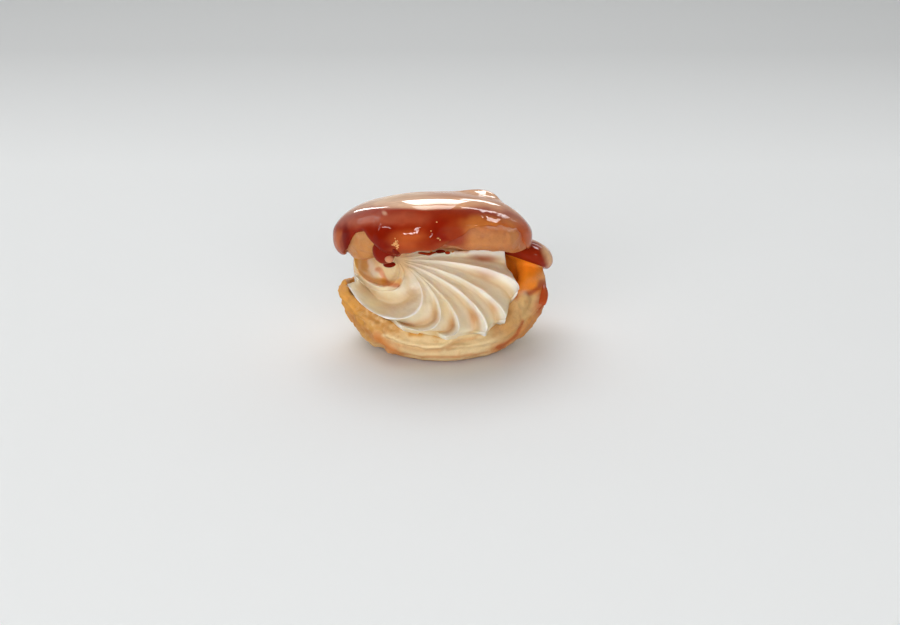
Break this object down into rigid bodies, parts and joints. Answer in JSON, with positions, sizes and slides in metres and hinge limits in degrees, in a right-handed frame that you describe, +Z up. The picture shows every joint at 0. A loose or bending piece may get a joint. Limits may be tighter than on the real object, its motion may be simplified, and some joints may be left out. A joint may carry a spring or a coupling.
{
  "type": "cream puff",
  "caption": "Small round choux cream puff, slit open at the front, filled with a piped swirl of whipped cream and topped with a glossy poured caramel glaze.",
  "frame": {"origin": "on the table under the middle of the puff's bounding box", "axes": "+Z up, the open mouth towards -Y, +X to the right as seen facing the mouth"},
  "size_m": [0.0652, 0.0518, 0.049],
  "materials": {
    "choux": "baked choux crust, golden to brown, dry and lightly wrinkled, paler crumb at the cut rim",
    "cream": "soft whipped cream, smooth with a faint sheen, ivory, warmer in its grooves",
    "glaze": "wet glossy caramel, red-brown where thick, amber where thin"
  },
  "bodies": {
    "root": {"choux_shell": "choux", "cream_swirl": "cream", "caramel_glaze": "glaze"}
  },
  "joints": []
}
